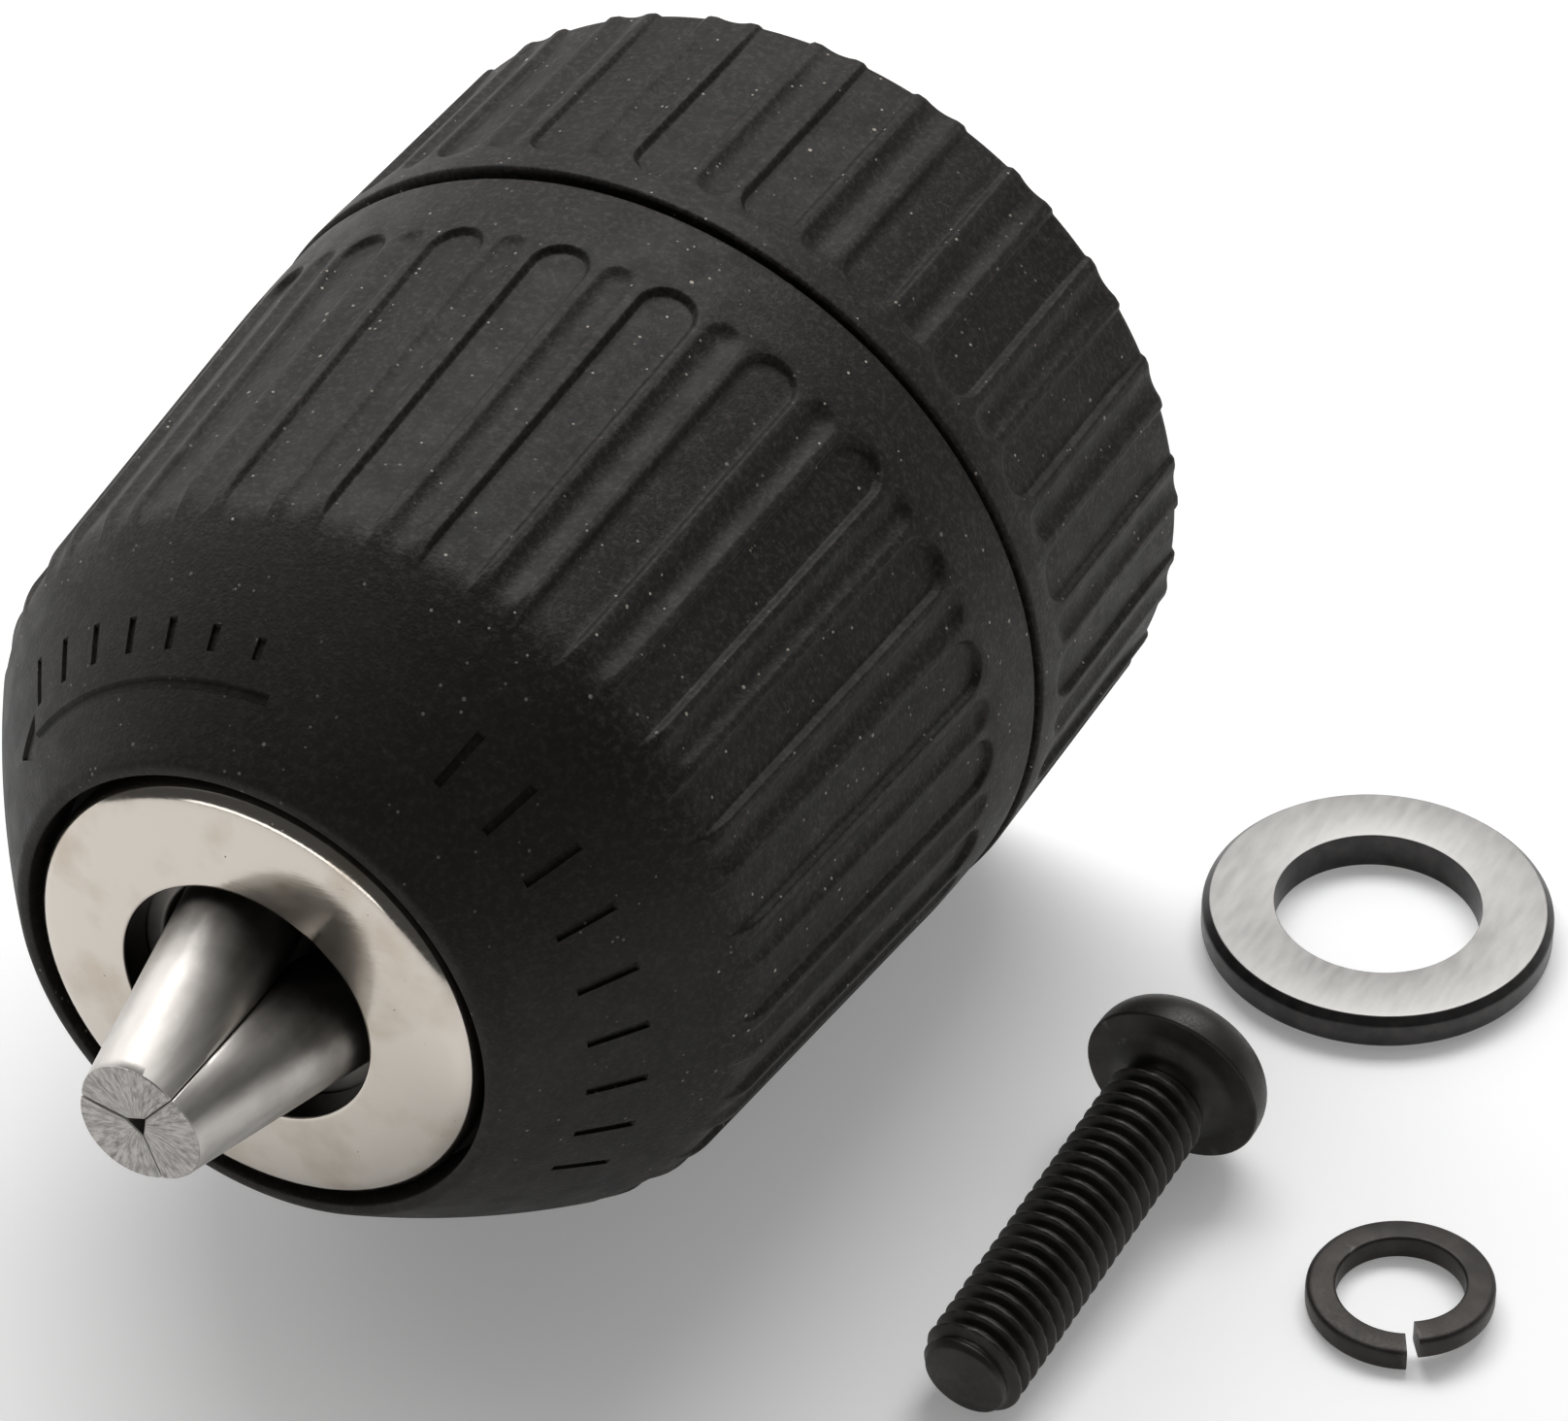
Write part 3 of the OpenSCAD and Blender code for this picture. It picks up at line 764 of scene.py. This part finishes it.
def jaw_section(station):
    """Half of a jaw's cross-section, from its gripping flat round to its outer side.

    The rod's section is an ellipse about centre. Where the wedge's side, a line 60 degrees from the
    jaw's middle plane, crosses it, the section follows the wedge from the flat out to the ellipse.
    """
    centre = rod_centre(station)
    long, short, slope = JAW_R / math.cos(JAW_SLOPE), JAW_R, math.tan(math.radians(60))
    least_wedge, split, stand_off = 0.3, 0.02, 0.05

    def on_ellipse(t):
        return np.stack([centre + long * np.cos(t), short * np.sin(t)], -1)

    flat = np.array([GRIP_FLAT, (GRIP_FLAT - SECTOR_APEX) * slope])
    a = 1 / long ** 2 + (slope / short) ** 2
    b = -2 * (centre / long ** 2 + SECTOR_APEX * (slope / short) ** 2)
    c = (centre / long) ** 2 + (SECTOR_APEX * slope / short) ** 2 - 1
    root = b * b - 4 * a * c
    x = (-b + math.sqrt(max(root, 0))) / (2 * a)
    wedge = root > 0 and x > GRIP_FLAT + least_wedge
    meet = math.radians(115)
    if wedge:
        meet = math.atan2((x - SECTOR_APEX) * slope / short, (x - centre) / long)
    outer = on_ellipse(np.linspace(meet - split, 0, 28))
    if wedge:
        end = np.array([x, (x - SECTOR_APEX) * slope])
        end = end + (flat - end) / np.linalg.norm(flat - end) * stand_off
        inner = np.vstack([[GRIP_FLAT, 0], flat + (end - flat) * np.linspace(0, 1, 7)[:, None]])
        rod_side = centre - long * np.sqrt(1 - (inner[:, 1] / short) ** 2)
        inner[:, 0] = np.maximum(inner[:, 0], rod_side)
    else:
        inner = on_ellipse(np.linspace(math.pi, meet + split, 8))
    return np.vstack([inner, outer])


def jaw(index):
    """A jaw: a sloping rod cut to a 120 degree wedge at its front, with threads on its back."""
    back = JAW_TIP - 34.8
    first_tooth, last_tooth = JAW_TIP - 37 * math.cos(JAW_SLOPE) + 1.2, 46.5
    teeth = np.arange(first_tooth, last_tooth, TOOTH_PITCH)
    threaded = np.concatenate([teeth - TOOTH_FLANK, teeth, teeth + TOOTH_FLANK, [back]])
    plain = np.linspace(47.2, JAW_TIP - 0.04, 28)
    stations = np.unique(np.concatenate([plain, threaded[threaded >= back]]))
    rows = []
    for station in stations:
        half = jaw_section(station)
        outer = rod_centre(station) + JAW_R / math.cos(JAW_SLOPE)
        nearest = np.abs(teeth - station).min()
        limit = outer - TOOTH_DEPTH * max(0, 1 - nearest / TOOTH_FLANK)
        far = np.linalg.norm(half, axis=1, keepdims=True)
        rows.append(half * np.minimum(1, limit / far))
    tip = jaw_section(JAW_TIP)
    middle = tip.mean(0) * [1, 0]
    rows.append(middle + (tip - middle) * 0.97)
    stations = np.append(stations, JAW_TIP)
    half = np.stack(rows)
    whole = np.concatenate([half, half[:, -2:0:-1] * [1, -1]], 1)
    angle = np.arctan2(whole[..., 1], whole[..., 0]) + math.radians(JAW_CLOCK + 120 * index)
    points = about_axis(np.hypot(whole[..., 0], whole[..., 1]), angle, stations[:, None])
    return capped(points).build(f"jaw_{index + 1}_ground", 35)


for number in range(3):
    dress(jaw(number), f"jaw_{number + 1}", JAW_STEEL, f"jaw_{number + 1}")


# -------------------------------- loose hardware

# The screw lies on the rim of its head and on its first crest. Its tip's place is in plan, and
# SCREW_SPREAD is the angle between the screw and the chuck's axis.
SCREW_TIP, SCREW_SPREAD = (28.9, -38.7), 2.4
SCREW_LENGTH, SCREW_PITCH, SCREW_FIRST_CREST = 19.5, 0.8, 0.9
SCREW_MAJOR, SCREW_MINOR, HEAD_R = 2.45, 2.0, 4.35


def retaining_screw():
    """An M5 left-hand screw with a rolled thread, a domed head and a cross recess."""
    shank_end = SCREW_LENGTH - 0.95

    def thread(angle, height):
        away = 1 - triangle_wave(height / SCREW_PITCH + angle / (2 * math.pi))
        crest = np.clip((0.8 - away) / 0.64, 0, 1)
        fade = ease((height - 0.1) / 0.7) * ease((shank_end - height) / 0.5)
        return np.where(height < shank_end, (SCREW_MAJOR - SCREW_MINOR) * crest * fade, 0)

    head = rounded([
        (SCREW_MINOR, shank_end, 0), (SCREW_MINOR + 0.1, SCREW_LENGTH - 0.5, 0.3),
        (3, SCREW_LENGTH, 0.3), (HEAD_R, SCREW_LENGTH, 0.15), (HEAD_R, SCREW_LENGTH + 1.75, 1.2),
        (2.4, SCREW_LENGTH + 2.95, 1.2), (0, SCREW_LENGTH + 3, 0)], steps=8)
    heights = np.arange(0.25, shank_end, 0.05)
    shank = np.column_stack([np.full_like(heights, SCREW_MINOR), heights])
    outline = np.vstack([[0, 0], [SCREW_MINOR - 0.15, 0], [SCREW_MINOR - 0.05, 0.06], shank, head])
    piece = lathe(outline, 80, closed=False, ripple=thread).build("retaining_screw_black", 50)
    cut(piece, cross_cutter(SCREW_LENGTH + 1.4))
    smooth(piece, 45)
    tilt = math.atan((HEAD_R - SCREW_MAJOR) / (SCREW_LENGTH + 0.25 - SCREW_FIRST_CREST))
    lift = SCREW_MAJOR * math.cos(tilt) - SCREW_FIRST_CREST * math.sin(tilt)
    spot = Matrix.Translation(Vector((*SCREW_TIP, FLOOR + lift)) * MM)
    turn = Matrix.Rotation(math.radians(-SCREW_SPREAD), 4, "Z")
    lie = Matrix.Rotation(math.radians(-90) + tilt, 4, "X")
    return place(piece, spot @ turn @ lie)


def cross_cutter(bottom):
    """A cross that widens upward from the bottom height."""
    arm, half = 2.1, 0.45
    corner = np.array([(arm, half), (half, half), (half, arm)])
    quarters = [corner @ np.array([[math.cos(q), math.sin(q)], [-math.sin(q), math.cos(q)]])
                for q in np.arange(4) * math.pi / 2]
    cross = np.concatenate(quarters)
    levels = [np.column_stack([cross * scale, np.full(len(cross), height)]) * MM
              for scale, height in ((0.55, bottom), (1, bottom + 1.4), (1, bottom + 4))]
    return capped(np.stack(levels)).build("cross_cutter")


def spacer_washer():
    """A thick washer with chamfered outer edges."""
    low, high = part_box("spacer_washer")
    outer, thick = (high.x - low.x) / 2 / MM, (high.z - low.z) / MM
    hole, chamfer = 4.95, 0.38
    outline = rounded([
        (hole, 0, 0.06), (outer - chamfer, 0, 0.08), (outer, chamfer, 0.12),
        (outer, thick - chamfer, 0.12), (outer - chamfer, thick, 0.04),
        (hole, thick, 0.06)], steps=4)
    piece = lathe(outline, 192).build("spacer_washer_ground", 30)
    return place(piece, Matrix.Translation(Vector(centre_of("spacer_washer")) * MM))


def lock_washer():
    """One turn of spring wire with its cut ends apart, resting on its low end and far side."""
    outer, hole, thick, rise = 4.25, 2.9, 1.2, 0.7
    gap, gap_turn = 7, math.radians(-59)
    section = rounded([
        (hole, 0, 0.18), (outer, 0.03, 0.3), (outer, thick - 0.03, 0.3),
        (hole, thick, 0.18)], steps=4)
    t = np.linspace(0, 1, 97)[:, None]
    angle = gap_turn + np.radians(gap / 2 + (360 - gap) * t)
    x, y = section[:, 0] * np.cos(angle), section[:, 0] * np.sin(angle)
    z = section[:, 1] + rise * (1 - t)
    points = MM * np.stack(np.broadcast_arrays(x, y, z), -1)
    piece = capped(points).build("lock_washer_sprung", 35)
    across = Vector((-math.sin(gap_turn), math.cos(gap_turn), 0))
    place(piece, Matrix.Rotation(-math.asin(rise / 4 / outer), 4, across))
    lowest = min(corner.co.z for corner in piece.data.vertices)
    x, y, z = centre_of("lock_washer")
    return place(piece, Matrix.Translation((x * MM, y * MM, z * MM - lowest)))


dress(retaining_screw(), "loose_screw", SCREW_BLACK, "retaining_screw")
dress(spacer_washer(), "loose_spacer", WASHER_GROUND, "spacer_washer")
dress(lock_washer(), "loose_lock", LOCK_BLACK, "lock_washer")


# -------------------------------- CAD nodes that stay as they are

KEPT = {
    "thrust_race_rear": RACE_STEEL,
    "thrust_race_front": RACE_STEEL,
    "bearing_balls": BALL_STEEL,
    "bearing_cage": CAGE_BRASS,
    "nut_half_a": NUT_STEEL,
    "nut_half_b": NUT_STEEL,
    "nut_band": NUT_STEEL,
    "sleeve_insert": NUT_STEEL,
}
for node, steel in KEPT.items():
    for holder in frame["nodes"][node].material_slots:
        holder.material = steel


# -------------------------------- floor, lights and camera

def floor():
    """A wide pale floor that curves up far behind the object."""
    half, back, rise = 3000, 1500, 900
    bend = [(back + rise * math.sin(t), FLOOR + rise * (1 - math.cos(t)))
            for t in np.linspace(0, math.pi / 2, 24)]
    profile = np.array([(-half, FLOOR), *bend, (back + rise, FLOOR + 2 * rise)])
    rows = [np.column_stack([np.full(len(profile), x), profile])
            for x in np.linspace(-half, half, 3)]
    made = Mesh()
    made.add_grid(MM * np.stack(rows))
    piece = made.build("studio_floor")
    piece.data.materials.append(floor_paper())


def softbox(name, centre, size, radiance):
    """A rectangular lamp of a given radiance that faces the chuck. Its lengths are in metres."""
    light = bpy.data.lights.new(name, "AREA")
    light.shape = "RECTANGLE"
    light.size, light.size_y = size
    light.energy = radiance * math.pi * size[0] * size[1]
    lamp = bpy.data.objects.new(name, light)
    lamp.location = centre
    toward = Vector((0, -0.02, 0)) - Vector(centre)
    lamp.rotation_euler = toward.to_track_quat("-Z", "Y").to_euler()
    bpy.context.scene.collection.objects.link(lamp)


def camera():
    """Looks down on the nose from the right, through a long lens. The eye's place is in metres."""
    eye_at = (0.11292, -0.21122, 0.17731)
    azimuth, elevation, roll = math.radians(28.24), math.radians(39.48), math.radians(-0.44)
    lens = bpy.data.cameras.new("camera")
    lens.lens, lens.sensor_width = 143.2, 36
    lens.clip_start, lens.clip_end = 0.01, 20
    eye = bpy.data.objects.new("camera", lens)
    level = math.cos(elevation)
    back = Vector((level * math.sin(azimuth), -level * math.cos(azimuth), math.sin(elevation)))
    look = (-back).to_track_quat("-Z", "Y").to_matrix().to_4x4()
    eye.matrix_world = Matrix.Translation(eye_at) @ look @ Matrix.Rotation(roll, 4, "Z")
    bpy.context.scene.collection.objects.link(eye)
    bpy.context.scene.camera = eye


def world():
    """A sky that is bright behind and above the object and nearly dark in front of it."""
    made = bpy.data.worlds.new("studio")
    made.use_nodes = True
    tree = made.node_tree
    direction = tree.nodes.new("ShaderNodeTexCoord")
    toward = tree.nodes.new("ShaderNodeVectorMath")
    toward.operation = "DOT_PRODUCT"
    toward.inputs[1].default_value = Vector((-0.3, 0.8, 0.52)).normalized()
    strength = tree.nodes.new("ShaderNodeMapRange")
    for socket, value in (("From Min", 0.3), ("From Max", 0.9), ("To Min", 0.08), ("To Max", 0.95)):
        strength.inputs[socket].default_value = value
    tree.links.new(direction.outputs["Generated"], toward.inputs[0])
    tree.links.new(toward.outputs["Value"], strength.inputs["Value"])
    tree.links.new(strength.outputs["Result"], tree.nodes["Background"].inputs["Strength"])
    tree.nodes["Background"].inputs["Color"].default_value = (1, 1, 1, 1)
    bpy.context.scene.world = made


floor()
softbox("key_above", (-0.18, 0.34, 0.66), (0.85, 0.32), 5.5)
softbox("left_wall", (-0.7, 0.15, 0.3), (0.6, 0.5), 1.4)
softbox("front_strip", (-0.2, -0.95, 0.1), (0.9, 0.14), 2.2)
world()
camera()
bpy.context.scene.view_settings.view_transform = "Standard"
